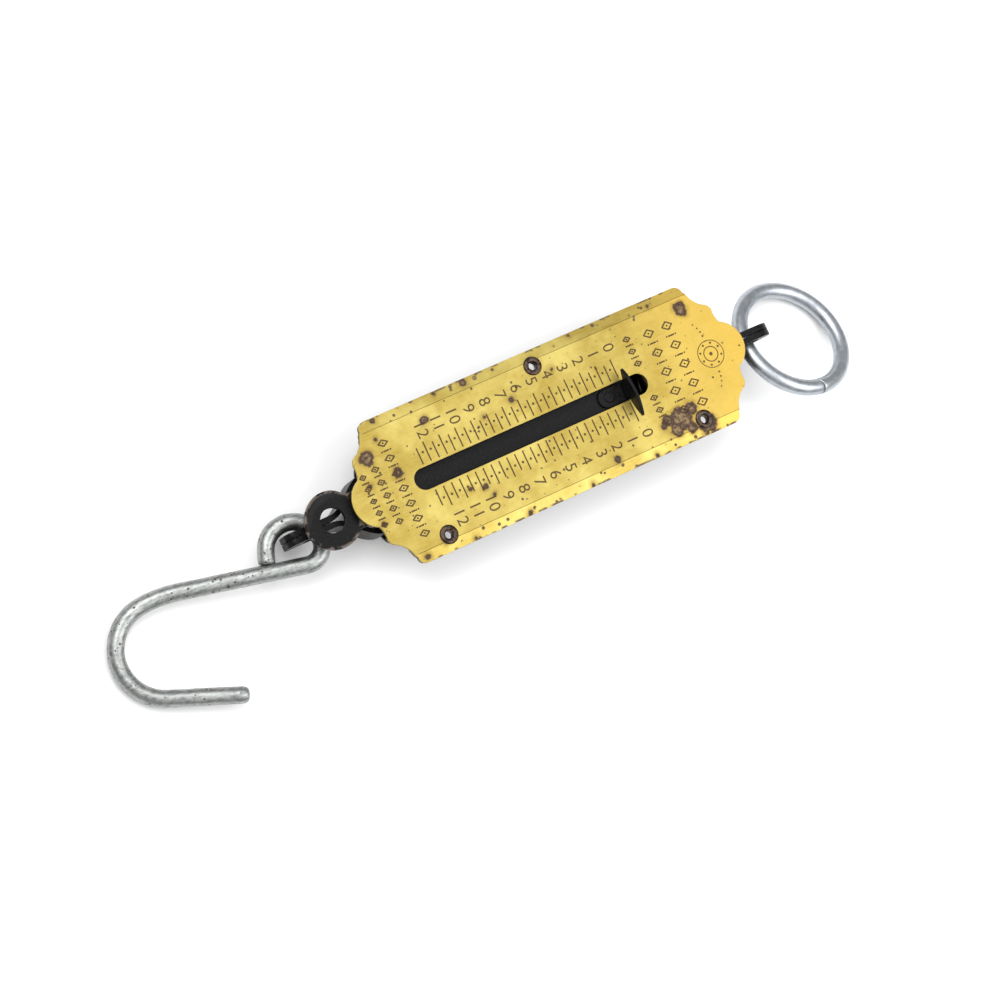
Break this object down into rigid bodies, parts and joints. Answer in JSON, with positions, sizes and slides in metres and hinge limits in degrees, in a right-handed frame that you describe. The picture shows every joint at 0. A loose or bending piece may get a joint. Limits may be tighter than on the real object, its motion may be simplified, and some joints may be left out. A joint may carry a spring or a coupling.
{
  "type": "pocket spring balance",
  "caption": "Hand-held spring balance: brass dial with a slot and pointer on a black sheet-steel case, a swinging ring at one end and a pull-out wire hook at the other.",
  "frame": {"origin": "middle of the flat strip along the case's back, below the middle of the dial", "axes": "+X along the balance from the hook to the ring, +Y across the dial, +Z out of the dial"},
  "size_m": [0.199, 0.0467, 0.022],
  "materials": {
    "brass": "rolled sheet, tarnished",
    "black_lacquer": "worn gloss lacquer on sheet steel",
    "dark_steel": "darkened by age",
    "plain_steel": "dull",
    "spring_steel": "blued, lightly rusted",
    "bright_zinc": "bright plated wire",
    "galvanised": "dull zinc with pits"
  },
  "bodies": {
    "case": {"dial_plate": "brass", "case_shell": "black_lacquer", "eyelet_top": "dark_steel", "eyelet_low_hook": "dark_steel", "eyelet_low_ring": "dark_steel", "hook_end_plate": "black_lacquer", "seat_boss": "plain_steel", "ring_end_plate": "black_lacquer", "hanger": "black_lacquer", "hanger_rivet_upper": "plain_steel", "hanger_rivet_lower": "plain_steel", "main_spring": "spring_steel"},
    "draw": {"draw_frame": "black_lacquer", "spring_cap": "plain_steel", "cap_rivet": "plain_steel", "pointer_strip": "black_lacquer", "pointer": "black_lacquer", "pointer_rivet": "black_lacquer"},
    "ring": {"suspension_ring": "bright_zinc"},
    "hook": {"load_hook": "galvanised"}
  },
  "joints": [
    {"name": "draw_slide", "type": "slide", "parent": "case", "child": "draw", "axis": [-1, 0, 0], "range_m": [0, 0.053], "stiffness_N_per_m": 2335, "deforming": ["main_spring"]},
    {"name": "ring_swing", "type": "hinge", "parent": "case", "child": "ring", "pos_m": [0.056, 0, 0.0102], "axis": [0, 1, 0], "range_deg": [-90, 90]},
    {"name": "hook_swing", "type": "hinge", "parent": "draw", "child": "hook", "pos_m": [-0.0605, 0, 0.0076], "axis": [0, 1, 0], "range_deg": [-90, 50]}
  ]
}
